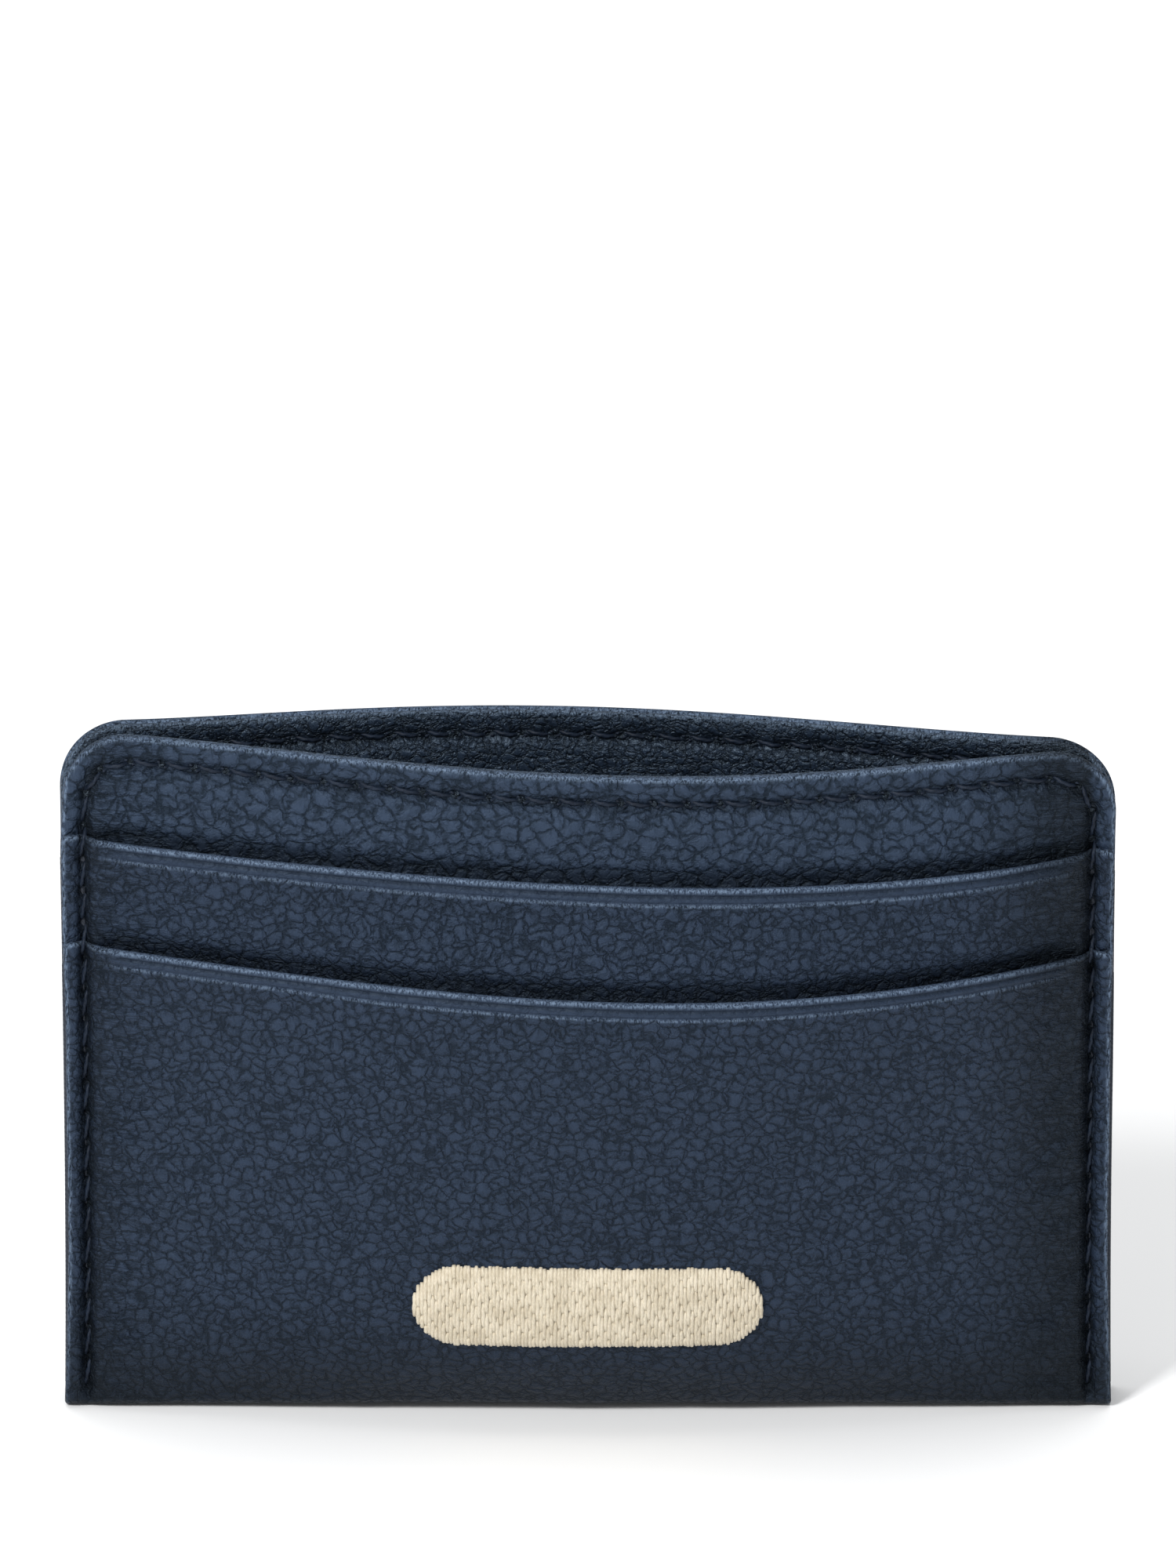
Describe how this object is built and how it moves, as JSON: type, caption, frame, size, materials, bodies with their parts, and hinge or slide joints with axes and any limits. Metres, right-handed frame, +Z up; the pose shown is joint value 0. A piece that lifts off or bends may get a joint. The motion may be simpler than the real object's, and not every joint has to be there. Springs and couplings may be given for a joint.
{
  "type": "card holder",
  "caption": "Slim pebbled-leather card holder that stands open, with stepped card slots on both faces and a lined central pocket.",
  "frame": {"origin": "middle of the bottom fold, on the face that the holder stands on", "axes": "+X along the width to the right of a person who faces the front, -Y out of the front face, +Z up to the open mouth"},
  "size_m": [0.102, 0.0211, 0.0699],
  "materials": {
    "pebbled_leather": "pebbled, semi-gloss",
    "lining_leather": "grained, glossy",
    "slot_fabric": "fine twill",
    "stiffener_board": "matt pressed fibre board",
    "seam_thread": "twisted, slight sheen",
    "embroidery_thread": "satin stitch",
    "backing_fabric": "matt non-woven"
  },
  "bodies": {
    "root": {"front_centre_lining": "lining_leather", "front_panel_stiffener": "stiffener_board", "front_panel": "pebbled_leather", "front_rim_stitching": "seam_thread", "front_upper_slot_lining": "slot_fabric", "front_upper_pocket": "pebbled_leather", "front_slot_base_stitching": "seam_thread", "front_lower_slot_lining": "slot_fabric", "back_centre_lining": "lining_leather", "back_panel_stiffener": "stiffener_board", "back_panel": "pebbled_leather", "back_rim_stitching": "seam_thread", "back_upper_slot_lining": "slot_fabric", "back_upper_pocket": "pebbled_leather", "back_slot_base_stitching": "seam_thread", "back_lower_slot_lining": "slot_fabric", "lower_pocket_wrap": "pebbled_leather", "left_side_stitching": "seam_thread", "right_side_stitching": "seam_thread", "embroidery_backing": "backing_fabric", "embroidered_bar": "embroidery_thread"}
  },
  "joints": []
}
